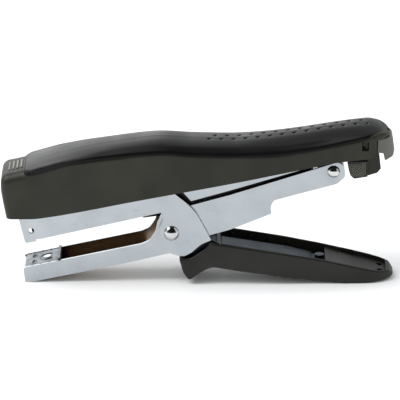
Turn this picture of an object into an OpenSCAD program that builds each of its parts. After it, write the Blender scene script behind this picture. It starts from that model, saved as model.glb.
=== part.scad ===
// Plier stapler. +X runs to the rear, +Y to the far side, +Z up.
// The origin lies on the bench, under the middle of the stapler's length and width.
// The stapler rests on the front corner of its jaw and on the tail of its lower handle.

/* [Magazine] */
// Angle that the magazine climbs towards the rear
tilt = 13.2; // [13:0.1:13.4]
// Width inside the staple channel, for 12.7 mm staple crowns
channel_inner_w = 13; // [12.9:0.1:13.1]
// Sheet thickness of the staple channel
channel_t = 0.5; // [0.4:0.1:0.5]
// Length of the staple channel
channel_l = 148; // [140:1:150]

/* [Steel plates] */
// Sheet thickness of the jaw, the links and the side plates
plate_t = 1.2; // [1:0.1:1.2]
// Gap between one layer of plates and the next
layer_gap = 0.3; // [0.25:0.05:0.3]
// Radius of the main rivet's domed heads
main_dome_r = 4; // [3.5:0.1:4.2]
// Radius of the rear rivets' domed heads
rear_dome_r = 3.3; // [3:0.1:3.4]

/* [Mouldings] */
// Full width of the cover
cover_w = 28.4; // [28.2:0.1:29]
// Wall thickness of the cover
cover_t = 1.8; // [1.6:0.1:1.9]
// Full width of the lower handle
handle_w = 27; // [26.8:0.1:27.4]
// Wall thickness of the lower handle
handle_t = 1.6; // [1.4:0.1:1.6]

/* [Pusher] */
// Radius of the pusher's guide rod
rod_r = 1.5; // [1.2:0.1:1.6]
// Height of the guide rod's axis above the bottom of the magazine
rod_v = 11.2; // [11.1:0.1:11.3]
// Turns of the pusher spring
spring_turns = 24; // [12:1:30]

/* [Hidden] */
$fn = 48;

// Half-widths of the layers of sheet metal, from the magazine outwards
channel_out = channel_inner_w / 2 + channel_t;
frame_in = channel_out + layer_gap - 0.05;
frame_out = frame_in + 1.1;
link_in = frame_out + layer_gap - 0.05;
link_out = link_in + plate_t;
side_in = link_out + layer_gap;
side_out = side_in + plate_t;
cover_out = cover_w / 2;
cover_in = cover_out - cover_t;
handle_out = handle_w / 2;
handle_in = handle_out - handle_t;
// Pivots, as x and z
main_p = [-13.3, 26.9];
rear_p = [67.2, 59.2];
// Bottom front corner of the magazine's nose
nose_p = [-86.5, 21.5];
// Radii of the pivots, and their running clearance
main_r = 3;
rear_r = 2.2;
run = 0.05;
// Rivets of the staple channel: places along it, height and radius
rivet_us = [26, 58];
rivet_v = 3.2;
rivet_r = 1.5;
// Screws that hold the cover on the frame, as [x, underside, tip]
screws = [[-70, 54.2, 61.6], [10, 65.05, 69.8]];
screw_r = 1.6;
// Pin in the lower lever that works the jaw
drive_p = [-8.8, 20.2];
drive_r = 1.2;
// Post at the rear end of the lower lever
post_x = 61;
post_r = 1.5;
// Rear end of the guide rod, measured along the magazine
rod_end = channel_l + 31;

// Corner of an outline turned into an arc of radius p[2]
function unit(v) = v / norm(v);
function arc_of(a, p, b) =
    let (c = [p[0], p[1]],
        u = unit([a[0], a[1]] - c),
        w = unit([b[0], b[1]] - c),
        half = acos(max(-1, min(1, u * w))) / 2,
        reach = min(p[2] / tan(half), norm([a[0], a[1]] - c) * 0.48, norm([b[0], b[1]] - c) * 0.48),
        r = reach * tan(half),
        o = c + unit(u + w) * (r / sin(half)),
        t0 = c + u * reach - o,
        t1 = c + w * reach - o,
        a0 = atan2(t0[1], t0[0]),
        turn = atan2(t0[0] * t1[1] - t0[1] * t1[0], t0 * t1),
        n = max(2, ceil(abs(turn) / 12)))
    [for (i = [0:n]) o + r * [cos(a0 + turn * i / n), sin(a0 + turn * i / n)]];

// Outline with each corner [x, z, r] rounded to its own radius
function rounded(pts) =
    let (n = len(pts))
    [for (i = [0:n - 1])
        each (len(pts[i]) < 3 ? [[pts[i][0], pts[i][1]]]
            : arc_of(pts[(i + n - 1) % n], pts[i], pts[(i + 1) % n]))];

// Outline in the XZ plane drawn out from y0 to y1
module slab(pts, y0, y1) {
    translate([0, y1, 0])
        rotate([90, 0, 0])
            linear_extrude(y1 - y0)
                polygon(rounded(pts));
}

// The same outline on both sides, between two half-widths
module both(pts, y0, y1) {
    slab(pts, y0, y1);
    slab(pts, -y1, -y0);
}

// Round bar along Y at p, from y0 to y1
module bar(p, r, y0, y1) {
    translate([p[0], y1, p[1]])
        rotate([90, 0, 0])
            cylinder(r = r, h = y1 - y0);
}

// Domed rivet head that stands out from the face y, towards the side s
module dome(p, r, h, y, s) {
    ball = (r * r + h * h) / (2 * h);
    translate([p[0], s * y, p[1]])
        rotate([-90 * s, 0, 0])
            rotate_extrude()
                intersection() {
                    translate([0, h - ball])
                        circle(r = ball, $fn = 96);
                    square([r, h]);
                }
}

// Children drawn in the magazine's own lines: x along it, z square to it
module on_magazine() {
    translate([nose_p[0], 0, nose_p[1]])
        rotate([0, -tilt, 0])
            children();
}

// A block in the current lines, centred on Y
module block(x0, x1, half, z0, z1) {
    translate([x0, -half, z0])
        cube([x1 - x0, 2 * half, z1 - z0]);
}

// ---- Frame: side plates, links and magazine ----

side_shape = [
    [-86.1, 21.6], [-80.8, 22.6], [-81, 23.6], [-78.4, 23.9], [-17.6, 38.1, 1],
    [-17.6, 34], [-19.4, 29.6, 4], [-19.5, 24.2, 6], [-17.5, 19, 4], [-13.5, 15.8, 4],
    [-7.5, 14.1, 6], [-3.3, 16.6, 3], [1.7, 21.2, 10], [6.6, 23.1, 0.6], [3.8, 28.6, 20],
    [-1, 37.8, 20], [-5.7, 43, 20], [-14, 49.8, 1], [-89.9, 37.7]];

module side_plates() {
    color("lightsteelblue")
    difference() {
        union() {
            both(side_shape, side_in, side_out);
            on_magazine()
                block(0, plate_t, side_in + 0.7, 0.5, 15.8);
        }
        bar([-83.3, 28.3], 1.4, -side_out - 1, side_out + 1);
        bar(main_p, main_r + run, -side_out - 1, side_out + 1);
        for (u = rivet_us)
            on_magazine()
                bar([u, rivet_v], rivet_r, -side_out - 1, side_out + 1);
    }
}

link_shape = [
    [-6, 40.6], [16, 46.9], [63.5, 62.3, 8], [69.5, 64.3, 4], [72.6, 62.2, 3], [73.1, 56.4, 3],
    [69, 52.7, 3], [37.6, 43.9, 3], [36.1, 40.6, 3], [36.5, 36.8, 0.8], [16, 28.3, 10],
    [4.5, 24.9], [0.2, 23.6], [0.6, 27], [-1.4, 33.6]];

module link_plates() {
    color("silver")
    difference() {
        both(link_shape, link_in, link_out);
        bar(rear_p, rear_r, -link_out - 1, link_out + 1);
    }
}

module staple_channel() {
    color("gainsboro")
    on_magazine()
    difference() {
        block(4.4, channel_l, channel_out, 0.4, 13.6);
        block(4, channel_l + 1, channel_out - channel_t, 0.9, 14);
        for (u = rivet_us)
            bar([u, rivet_v], rivet_r, -channel_out - 1, channel_out + 1);
    }
}

module staple_rail() {
    color("darkgray")
    on_magazine()
    difference() {
        block(4.4, channel_l - 8, 5.4, 0.9, 8.6);
        block(4, channel_l, 4.6, 1.7, 7.8);
    }
}

// Short rivets hold the channel between the side plates and leave the staples' way free
module channel_rivets() {
    color("lightgray")
    on_magazine()
    for (u = rivet_us)
        for (s = [-1, 1]) {
            near = channel_out - channel_t;
            bar([u, rivet_v], rivet_r, s > 0 ? near : -side_out, s > 0 ? side_out : -near);
            dome([u, rivet_v], rivet_r + 0.2, 0.15, side_out, s);
        }
}

module main_rivet() {
    color("whitesmoke") {
        bar(main_p, main_r, -side_out, side_out);
        for (s = [-1, 1])
            dome(main_p, main_dome_r, 2.4, side_out, s);
    }
}

module main_bush() {
    color("darkkhaki")
    difference() {
        bar(main_p, main_r + 1.4, -frame_in + 0.3, frame_in - 0.3);
        bar(main_p, main_r + run, -frame_in, frame_in);
    }
}

// Shouldered rivets, one on each side, leave the staple channel free between them
module rear_rivets() {
    color("whitesmoke")
    for (s = [-1, 1]) {
        y0 = s > 0 ? frame_in + 0.1 : -link_out;
        y1 = s > 0 ? link_out : -frame_in - 0.1;
        bar(rear_p, rear_r, y0, y1);
        dome(rear_p, rear_dome_r, 2, link_out, s);
    }
}

// Torsion spring wound round the bush, as its coils and two legs
module jaw_spring() {
    color("dimgray") {
        translate([main_p[0], 0, main_p[1]])
            rotate([90, 0, 0])
                for (i = [-2:2])
                    translate([0, 0, i * 1.25])
                        rotate_extrude()
                            translate([5.6, 0])
                                circle(r = 0.6, $fn = 16);
        for (i = [-2, 2])
            translate([main_p[0], -i * 1.25, main_p[1] + 5.6])
                rotate([0, i > 0 ? 74 : -98, 0])
                    cylinder(r = 0.6, h = 15, $fn = 16);
    }
}

// ---- Head: cover, grip, frame and driver ----

cover_shape = [
    [-95.7, 35.4, 1], [-83, 35.2, 6], [-61.5, 38.8, 30], [-33, 44.6, 60], [21, 55.2, 60],
    [53.5, 62.2, 60], [69, 65.4, 20], [84, 67.2, 2], [88.4, 69.2, 2], [88.4, 77.4, 0.6],
    [94.6, 79.8, 0.8], [93, 82, 1], [84, 82.6, 8], [67, 78.6, 40], [36, 71.2, 40], [2, 70.4, 40],
    [-18, 72.4, 30], [-50, 68.6, 60], [-84, 60.6, 8], [-96.2, 57.4, 3.5], [-98.4, 52, 6]];

module cover_wall() {
    difference() {
        slab(cover_shape, -cover_out, cover_out);
        slab([[-96.4, 30], [-96.8, 50, 3], [-94.4, 55.6, 2], [-84, 58.6, 8], [-50, 66.6, 60],
            [-18, 70.4, 30], [2, 68.4, 40], [36, 69.2, 40], [67, 76.6, 20], [84, 78],
            [90, 78.8], [90, 60], [60, 50], [-60, 30]], -cover_in, cover_in);
        slab([[81, 71.6], [84.4, 71.6], [84.4, 76.8], [81, 76.8]], -cover_out - 1, cover_out + 1);
    }
}

// Moulded cover, with a boss under its roof for each screw
module upper_cover() {
    color("#3f4038")
    difference() {
        union() {
            cover_wall();
            for (p = screws)
                translate([p[0], 0, p[1] + 2.8])
                    cylinder(r = screw_r + 1.6, h = p[2] - p[1] - 2.2);
        }
        screw_shanks();
    }
}

module screw_shanks() {
    for (p = screws)
        translate([p[0], 0, p[1]])
            cylinder(r = screw_r, h = p[2] - p[1]);
}

grip_shape = [
    [-86.2, 60, 1], [-84, 57.2, 1], [-69, 62.3, 20], [-49, 66.8, 30], [-27, 68.8, 30],
    [-3.5, 68.2, 30], [20, 67.4, 60], [40, 68.6, 40], [72, 75.2, 20], [87, 80.2, 12],
    [95.8, 80.4, 0.6], [92, 83.8, 4], [84.5, 85.2, 6], [67, 82.4, 40], [28, 76.6, 60],
    [6, 75.8, 60], [-17, 77.7, 30], [-48, 73.2, 60], [-86.2, 63.6, 2]];

// Rubber sleeve moulded over the top and the shoulders of the cover
module soft_grip() {
    color("#1b1b1d")
    difference() {
        slab(grip_shape, -cover_out - 0.1, cover_out + 0.1);
        slab(cover_shape, -cover_out, cover_out);
    }
}

// Raised ribs on the nose, for the thumb
module nose_ribs() {
    color("#4a4b42")
    for (i = [0:3])
        translate([-94.4 + i * 2, -5.5, 57.95 + i * 2 * tan(14.7)])
            rotate([0, -14.7, 0])
                cube([1, 11, 0.7]);
}

head_shape = [
    [-90.4, 52.3, 1], [-20, 65.6, 20], [36, 67.2, 40], [74.6, 75.2, 1], [74.6, 67.6], [72.4, 64.6, 2],
    [71.6, 56, 4], [66, 53.8, 4], [61.6, 59.6, 4], [58.6, 63.2, 1], [16, 49.5], [-3.5, 43.5],
    [-7.9, 48, 0.5], [-60, 43], [-87.2, 40]];

module head_frame() {
    color("lightgray")
    difference() {
        slab(head_shape, -frame_out, frame_out);
        slab([[-94, 50.4], [-20, 64.4, 20], [36, 66, 40], [78, 74.8], [78, 30], [-94, 30]],
            -frame_in, frame_in);
        bar(rear_p, rear_r + run, -frame_out - 1, frame_out + 1);
        screw_shanks();
        blade_rivets(4);
    }
}

// Screws that hold the cover down on the frame
module cover_screws() {
    color("gray")
    screw_shanks();
    color("gray")
    for (p = screws)
        translate([p[0], 0, p[1] - 1.1])
            cylinder(r = 3, h = 1.1);
}

module driver_blade() {
    color("slategray")
    difference() {
        on_magazine()
            union() {
                block(3, 3.7, 6.3, 11.6, 29.2);
                block(3, 10, 6.3, 28.2, 29.2);
            }
        blade_rivets(4);
    }
}

// Shanks of the two rivets that hold the blade under the frame
module blade_rivets(h) {
    on_magazine()
        for (y = [-3.5, 3.5])
            translate([7.4, y, 28.2])
                cylinder(r = 1.4, h = h);
}

module driver_rivets() {
    color("whitesmoke")
    blade_rivets(3.2);
}

// Strip spring that lifts the head off the magazine again
module head_spring() {
    color("dimgray")
    on_magazine()
        slab([[60, 13.9], [60, 14.7], [66, 14.9, 4], [96, 20.6], [97, 20], [66, 14.2, 4],
            [66, 13.9]], -4, 4);
}

// ---- Jaw ----

jaw_shape = [
    [-86.2, 0], [-84, 0], [-34, 10.8], [-17.5, 14.9], [-13.3, 15.7, 8], [-4, 17.4, 8],
    [-1.9, 27, 8], [-5, 35.6, 8], [-13.3, 38.3, 8], [-17.9, 37.4, 2], [-20.2, 32.6, 6],
    [-21.5, 27, 6], [-24.4, 22.5, 5], [-28.4, 20.6, 8], [-85.2, 8.1], [-87, 7.4, 0.6]];

module jaw_arm() {
    color("lightsteelblue")
    difference() {
        slab(jaw_shape, -link_out, link_out);
        slab([[-84.8, 7], [-84.8, 1.6, 1], [-34, 12.3], [-26, 14.2], [-26, 8], [0, 8], [4, 40],
            [-30, 40], [-84.8, 20]], -link_in, link_in);
        bar(main_p, main_r + run, -link_out - 1, link_out + 1);
    }
}

// Pocketed plate that curls the staple legs, set into the front of the arm
module anvil_plate() {
    color("darkgray")
    translate([-84.7, 0, 8])
        rotate([0, -12.4, 0])
            difference() {
                union() {
                    block(0, 16, link_in, -1.2, 0);
                    block(14.8, 16, link_in, 0, 1.6);
                }
                for (s = [-1, 1])
                    bar([2.6, 0.15], 0.7, s * 3.4 - 2.4, s * 3.4 + 2.4);
                translate([9, 0, -3])
                    cylinder(r = 2, h = 6);
            }
}

module anvil_rivets() {
    color("whitesmoke")
    translate([-84.7, 0, 8])
        rotate([0, -12.4, 0])
            translate([9, 0, -1.8]) {
                cylinder(r = 2, h = 2.2);
                cylinder(r = 2.8, h = 0.6);
            }
}

// ---- Lower handle ----

handle_shape = [
    [-9.8, 14.4, 1], [-7.4, 6, 4], [-4.6, 2, 1.6], [1, 6.2, 6], [6.4, 9.4, 8], [19.3, 7.2, 10],
    [44.3, 3.5, 60], [74, 0], [84, 0], [97.4, 1.4, 1.5], [98.45, 2.4, 0.8], [96.4, 5.2, 3],
    [88.5, 6.6, 10], [77.7, 9.2, 20], [61, 13, 40], [44.3, 16.1, 60], [19.3, 20.2, 40],
    [9, 21.6, 4], [6.2, 22.6, 0.8], [3.9, 19.3, 6], [-4.6, 13.3, 6]];

module handle_shell() {
    color("#32332d")
    difference() {
        slab(handle_shape, -handle_out, handle_out);
        slab([[-12, 16], [-7.4, 11.5, 2], [-4, 5.2, 2], [1, 8.2, 6], [6.4, 11.4, 8], [19.3, 9.2, 20],
            [44.3, 5.4, 40], [63.6, 3.2], [64, 30], [-12, 30]],
            -handle_in, handle_in);
        slab([[63.4, 11.2], [77.7, 7.6, 20], [88, 5.2], [88, 12], [60, 30]], -handle_in, handle_in);
        for (y = [-5.5, 5.5])
            translate([91.6, y, -1])
                cylinder(r = 1.6, h = 10);
    }
}

// Steel lever under the moulding, with ears that turn on the main rivet
lever_shape = [
    [-20.5, 27, 6], [-18, 18.6, 5], [-8, 15.8, 3], [2, 12.4, 6], [19.3, 9.4], [44.3, 5.8],
    [57, 4.4, 1], [59.3, 9.6, 2], [56.8, 11.9, 2], [44.3, 15.6, 40], [27.5, 18.2, 20], [10, 21.6, 3],
    [-5, 28, 5], [-11, 35.6, 6], [-18, 34.4, 6]];

module handle_lever() {
    color("lightslategray")
    difference() {
        slab(lever_shape, -frame_out, frame_out);
        slab([[-30, 45], [-30, 0], [56, 0], [56, 10.6, 2], [44.3, 14.4, 40], [27.5, 17, 20],
            [12, 20.2], [2, 45]], -frame_in, frame_in);
        bar(main_p, main_r + run, -frame_out - 1, frame_out + 1);
        bar(drive_p, drive_r, -frame_out - 1, frame_out + 1);
    }
    color("lightslategray")
    difference() {
        block(57, post_x + 2.4, 3, 9.4, 10.4);
        translate([post_x, 0, 0])
            cylinder(r = post_r, h = 20);
    }
}

module lever_pin() {
    color("silver")
    bar(drive_p, drive_r, -frame_out, frame_out);
}

// Post screw that holds the lever's rear tab down in the moulding
module lever_screw() {
    color("gray")
    translate([post_x, 0, 4]) {
        cylinder(r = post_r, h = 6.6);
        translate([0, 0, 6.4])
            cylinder(r = post_r + 0.9, h = 1);
    }
}

// ---- Pusher: slides out of the rear of the magazine ----

cap_shape = [
    [88.9, 76.9, 1], [95.5, 79.4, 1], [96.4, 79, 1], [97.4, 69.2, 1.5], [96.8, 67.4, 1],
    [92.6, 65.9, 0.8], [91.9, 69.8, 1], [88.9, 70.6, 0.5]];

module pusher_knob() {
    color("#45463e")
    difference() {
        union() {
            slab(cap_shape, -11.6, 11.6);
            slab([[79.5, 58.6, 1], [89.4, 60.4, 1], [89.2, 76.4, 1], [79.5, 73.8, 1]], -5.2, 5.2);
        }
        on_magazine()
            translate([channel_l, 0, rod_v])
                rotate([0, 90, 0])
                    cylinder(r = rod_r, h = rod_end - channel_l);
    }
}

module pusher_rod() {
    color("silver")
    on_magazine()
        translate([12.2, 0, rod_v])
            rotate([0, 90, 0])
                cylinder(r = rod_r, h = rod_end - 12.2);
}

module rod_washer() {
    color("gray")
    on_magazine()
        translate([channel_l - 0.6, 0, rod_v])
            rotate([0, 90, 0])
                difference() {
                    cylinder(r = rod_r + 0.95, h = 0.8);
                    translate([0, 0, -1])
                        cylinder(r = rod_r, h = 4);
                }
}

latch_shape = [
    [73.9, 64.6, 0.5], [74.8, 60, 2], [75.6, 57.6, 1], [77.4, 55.9, 1.5], [81.7, 56.3, 3],
    [88.8, 58.5, 1], [90.7, 60.8, 1], [89.6, 69.8, 0.6], [88.5, 70.6], [88.5, 76.4, 0.4],
    [81.6, 76.2, 0.4], [80.8, 68]];

// One springy arm of the latch: knurled pad below, snap tooth above
module latch_arm(s) {
    y0 = s > 0 ? 7.9 : -9.6;
    slab(latch_shape, y0, y0 + 1.7);
    slab([[73.9, 64.6, 0.5], [74.8, 60, 2], [75.6, 57.6, 1], [77.4, 55.9, 1.5], [84, 57],
        [84, 65]], s > 0 ? 9.5 : -11, s > 0 ? 11 : -9.5);
    slab([[81.6, 73.4], [82.8, 73.4], [82.8, 72], [84, 72], [84, 76.2], [81.6, 76.2]],
        s > 0 ? 9.5 : -12, s > 0 ? 12 : -9.5);
}

module latch_near() {
    color("#4a4b43")
    latch_arm(-1);
}

module latch_far() {
    color("#4a4b43")
    latch_arm(1);
}

// Shoe that rides on the rail and drives the staples forward
module pusher_shoe() {
    color("goldenrod")
    on_magazine()
    difference() {
        block(4.6, 12, 6.3, 1.2, 13.2);
        block(4, 13, 5.6, 0, 8.8);
        translate([0, 0, rod_v])
            rotate([0, 90, 0])
                cylinder(r = rod_r + run, h = 20);
    }
}

// Coils of the pusher spring round the guide rod
module pusher_spring() {
    color("dimgray")
    on_magazine()
    for (i = [0:spring_turns - 1])
        translate([13 + i * (channel_l - 14) / spring_turns, 0, rod_v])
            rotate([0, 90, 0])
                rotate_extrude($fn = 24)
                    translate([rod_r + 0.6, 0])
                        circle(r = 0.35, $fn = 13);
}

side_plates();
link_plates();
staple_channel();
staple_rail();
channel_rivets();
main_rivet();
main_bush();
rear_rivets();
jaw_spring();
upper_cover();
soft_grip();
nose_ribs();
head_frame();
cover_screws();
driver_blade();
driver_rivets();
head_spring();
jaw_arm();
anvil_plate();
anvil_rivets();
handle_shell();
handle_lever();
lever_pin();
lever_screw();
pusher_knob();
pusher_rod();
rod_washer();
latch_near();
latch_far();
pusher_shoe();
pusher_spring();
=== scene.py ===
# %% [markdown]
# # A plier stapler: plated steel, moulded plastic and a soft grip
# The stapler is a steel magazine and jaw between two plastic mouldings, with rubber moulded over
# the top one. The CAD frame gives every joint and every hidden part. The visible mouldings are
# built again here as lofted skins and carved solids, so that their shoulders, folds and ribs
# catch the light as the real ones do. The flat sheet parts keep their CAD shape.

# %% Load the frame
from math import atan2, ceil, cos, pi, radians, sin, sqrt, tan

import bmesh
import bpy
from mathutils import Matrix, Vector


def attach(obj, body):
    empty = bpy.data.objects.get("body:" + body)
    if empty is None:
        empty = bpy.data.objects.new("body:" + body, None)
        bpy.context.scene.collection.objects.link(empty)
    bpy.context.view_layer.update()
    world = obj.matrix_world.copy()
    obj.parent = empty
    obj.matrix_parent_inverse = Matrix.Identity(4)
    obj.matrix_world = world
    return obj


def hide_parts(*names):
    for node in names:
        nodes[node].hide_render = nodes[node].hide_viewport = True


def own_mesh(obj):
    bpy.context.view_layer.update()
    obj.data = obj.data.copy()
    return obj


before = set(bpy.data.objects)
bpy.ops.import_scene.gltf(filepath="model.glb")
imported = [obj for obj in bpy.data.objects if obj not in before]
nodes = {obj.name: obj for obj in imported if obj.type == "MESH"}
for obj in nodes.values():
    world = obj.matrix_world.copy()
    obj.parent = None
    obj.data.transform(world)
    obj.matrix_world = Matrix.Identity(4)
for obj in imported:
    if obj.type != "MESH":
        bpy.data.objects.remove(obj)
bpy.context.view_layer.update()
MM = 0.001
TILT = radians(13.2)  # how far the magazine rises from nose to rear

# %% [markdown]
# ## Camera
# Something this long and thin is shown best through a long lens from a little above, so that
# the far side hardly shrinks. A short lens would swell the nose. The lens follows from the
# width to be seen, so it needs no trial and error.

# %% Camera
scene = bpy.context.scene
scene.view_settings.view_transform = "Standard"
aim = Vector((0.9, 0.0, 40.4)) * MM
distance, elevation = 1.8, radians(21)
sensor_mm, seen_width, near_side = 36, 0.199, 0.012
camera = bpy.data.objects.new("camera", bpy.data.cameras.new("camera"))
camera.data.sensor_width = sensor_mm
camera.data.lens = sensor_mm * (distance - near_side) / seen_width
camera.location = aim + distance * Vector((0, -cos(elevation), sin(elevation)))
camera.rotation_euler = (pi / 2 - elevation, 0, 0)
scene.collection.objects.link(camera)
scene.camera = camera
print("lens", round(camera.data.lens), "mm at", distance, "m")

# %% [markdown]
# ## Floor and light
# The room is white all round, which is what makes flat plated steel look pale grey. A dark card
# hangs overhead and a dark screen stands behind the camera, because domed rivets and rounded
# rubber need something dark to reflect, or they vanish into the white. Both are hidden from the
# camera and cast no shadow. Two big square lamps would be softboxes in a real studio.

# %% Floor and light
def quad(name, half_x, half_y, place, turn=(0, 0, 0)):
    """A flat rectangle for the studio: floor or card."""
    corners = [(-half_x, -half_y, 0), (half_x, -half_y, 0), (half_x, half_y, 0),
               (-half_x, half_y, 0)]
    mesh = bpy.data.meshes.new(name)
    mesh.from_pydata(corners, [], [(0, 1, 2, 3)])
    thing = bpy.data.objects.new(name, mesh)
    thing.location, thing.rotation_euler = place, turn
    scene.collection.objects.link(thing)
    return thing


def softbox(name, place, size, watts):
    """A square lamp aimed at the stapler and not seen itself."""
    lamp = bpy.data.lights.new(name, "AREA")
    lamp.size, lamp.energy = size, watts
    thing = bpy.data.objects.new(name, lamp)
    thing.location = place
    thing.rotation_euler = (aim - Vector(place)).to_track_quat("-Z", "Y").to_euler()
    thing.visible_camera = False
    scene.collection.objects.link(thing)


floor = quad("studio_floor", 6, 6, (0, 0, 0))
card = quad("dark_card", 0.40, 0.30, (0, -0.26, 0.8), (radians(-18), 0, 0))
screen = quad("dark_screen", 1.8, 1.5, (0, -1.2, 1.62), (radians(90), 0, 0))
for board in (card, screen):
    board.visible_camera = board.visible_shadow = board.visible_diffuse = False
softbox("key", (-0.9, -0.2, 1.4), 1.0, 24)
softbox("back", (-0.5, 1.6, 0.62), 1.1, 5.5)
world = bpy.data.worlds.new("white_room")
world.use_nodes = True
room = world.node_tree.nodes["Background"].inputs
room["Color"].default_value, room["Strength"].default_value = (0.97, 0.985, 1, 1), 0.72
scene.world = world

# %% [markdown]
# ## Colours and the one node helper
# Paint charts and screens give colours as sRGB hex, and the renderer works in linear light, so
# one function turns one into the other. A second function adds a shader node with its inputs,
# which keeps each finish readable as a short list.

# %% Colours and the node helper
def linear(hex_colour):
    """sRGB hex to linear light, with alpha."""
    parts = [int(hex_colour[i:i + 2], 16) / 255 for i in (1, 3, 5)]
    return (*[c / 12.92 if c <= 0.04045 else ((c + 0.055) / 1.055) ** 2.4 for c in parts], 1.0)


def add(finish, kind, inputs=None, **settings):
    """Adds one node to a finish. An input is a value, or the socket that feeds it."""
    node = finish.node_tree.nodes.new(kind)
    for key, value in settings.items():
        setattr(node, key, value)
    for key, value in (inputs or {}).items():
        if isinstance(value, bpy.types.NodeSocket):
            finish.node_tree.links.new(value, node.inputs[key])
        else:
            node.inputs[key].default_value = value
    return node


def start_finish(name):
    """An empty finish with object coordinates, which are real metres on the stapler."""
    finish = bpy.data.materials.new(name)
    finish.use_nodes = True
    finish.node_tree.nodes.clear()
    place = add(finish, "ShaderNodeTexCoord").outputs["Object"]
    return finish, place


def close_finish(finish, inputs):
    """The principled shader with these inputs, joined to the output."""
    shader = add(finish, "ShaderNodeBsdfPrincipled", inputs)
    add(finish, "ShaderNodeOutputMaterial", {"Surface": shader.outputs["BSDF"]})
    return finish


print("steel grey in linear light:", [round(c, 3) for c in linear("#c4c9cc")])

# %% [markdown]
# ## Sheet steel and rivets
# The plates are stamped from rolled strip and then nickel plated: the rolling leaves lines
# along the strip, about 0.15 mm apart, and the plating softens them. They are drawn 0.4 mm
# apart, or they would be too fine to see. Handling leaves faint dull patches about 12 mm
# across. The same recipe with other colours and roughness gives the blued springs, the
# zinc-plated lever and the tumbled rivets. The folded jaw is painted duller and browner on the
# inside: painted shade and reflection between its walls. A metal keeps the default IOR, because
# its colour says how it reflects.

# %% Metal finishes
def rolled_metal(name, clean, dull, smooth, rough, line_mm=0.4, patch_mm=12, relief_mm=0.004,
                 inside=None):
    """Rolled or drawn metal: lines along the strip, dull patches, and painted shade between the
    walls if inside is given.
    """
    finish, place = start_finish(name)
    strip = add(finish, "ShaderNodeMapping",
                {"Vector": place, "Rotation": (0, TILT, 0), "Scale": (0.04, 1, 1)})
    lines = add(finish, "ShaderNodeTexNoise",
                {"Vector": strip.outputs["Vector"], "Scale": 1 / (line_mm * MM), "Detail": 2})
    patches = add(finish, "ShaderNodeTexNoise",
                  {"Vector": place, "Scale": 1 / (patch_mm * MM), "Detail": 3, "Roughness": 0.5})
    worn = add(finish, "ShaderNodeMapRange",
               {"Value": patches.outputs["Fac"], "From Min": 0.3, "From Max": 0.75})
    tint = add(finish, "ShaderNodeMixRGB", {"Fac": worn.outputs["Result"], "Color1": linear(clean),
                                            "Color2": linear(dull)}).outputs["Color"]
    if inside:
        tint = painted_channel_shade(finish, place, tint, *inside)
    grain = add(finish, "ShaderNodeMath",
                {0: lines.outputs["Fac"], 1: 0.5, 2: worn.outputs["Result"]},
                operation="MULTIPLY_ADD")
    roughness = add(finish, "ShaderNodeMapRange",
                    {"Value": grain.outputs["Value"], "From Min": 0.1, "From Max": 1.3,
                     "To Min": smooth, "To Max": rough})
    bump = add(finish, "ShaderNodeBump",
               {"Height": lines.outputs["Fac"], "Distance": relief_mm * MM, "Strength": 0.6})
    return close_finish(finish, {"Base Color": tint, "Metallic": 1.0,
                                 "Roughness": roughness.outputs["Result"],
                                 "Normal": bump.outputs["Normal"]})


def painted_channel_shade(finish, place, tint, colour, half_width, front):
    """Painted shade and reflection between the walls: another colour nearer the middle than
    half_width and behind front.
    """
    side = add(finish, "ShaderNodeSeparateXYZ", {"Vector": place})
    depth = add(finish, "ShaderNodeMath", {0: side.outputs["Y"]}, operation="ABSOLUTE")
    between = add(finish, "ShaderNodeMath",
                  {0: depth.outputs["Value"], 1: half_width * MM}, operation="LESS_THAN")
    behind = add(finish, "ShaderNodeMath",
                 {0: side.outputs["X"], 1: front * MM}, operation="GREATER_THAN")
    within = add(finish, "ShaderNodeMath",
                 {0: between.outputs["Value"], 1: behind.outputs["Value"]}, operation="MULTIPLY")
    return add(finish, "ShaderNodeMixRGB", {"Fac": within.outputs["Value"], "Color1": tint,
                                            "Color2": linear(colour)}).outputs["Color"]


nickel = rolled_metal("nickel_plated_strip", "#b2b8bc", "#a9afb4", 0.2, 0.3)
# The brown between the jaw's walls is painted shade and reflection inside the folded channel.
jaw_nickel = rolled_metal("nickel_plated_fold", "#b2b8bc", "#a9afb4", 0.2, 0.3,
                          inside=("#8d7f70", 8.65, -84.9))
rivet_nickel = rolled_metal("tumbled_nickel_rivet", "#d6d8d8", "#c4c5c4", 0.07, 0.16,
                            patch_mm=5, relief_mm=0.002)
# Painted shade as well: this dark blue-grey on the staple channel and rail makes the gap between the
# head frame and the links read black.
blued_and_painted_shade = rolled_metal("blued_steel_and_painted_shade", "#2c2f34", "#3d3c3a", 0.3, 0.5)
spring_wire = rolled_metal("oiled_spring_wire", "#6d6f70", "#4c4a47", 0.25, 0.42, line_mm=0.2)
zinc = rolled_metal("zinc_plated_lever", "#3c464f", "#303942", 0.28, 0.42, patch_mm=9)
anvil_steel = rolled_metal("ground_anvil_steel", "#83898d", "#666b6f", 0.34, 0.5, patch_mm=4)
bronze = rolled_metal("sintered_bronze", "#a07c45", "#7d5f34", 0.4, 0.6, patch_mm=2)
print("metal finishes:", len(bpy.data.materials))

# %% [markdown]
# ## Moulded plastic and rubber
# Cover and handle are ABS, moulded in a spark-eroded tool. That leaves an even fine grain of
# about 0.2 mm, drawn here at 0.45 mm, that breaks the highlight into a soft satin. Where hands
# rub it the grain wears down, so broad patches are a little smoother and lighter. The grip is
# the same recipe in near-black rubber. The knurl is painted paler all over, a painted highlight
# on its ridges.

# %% Plastic and rubber finishes
RUBBED_MM = 22  # how wide the patches are where hands rub


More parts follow.
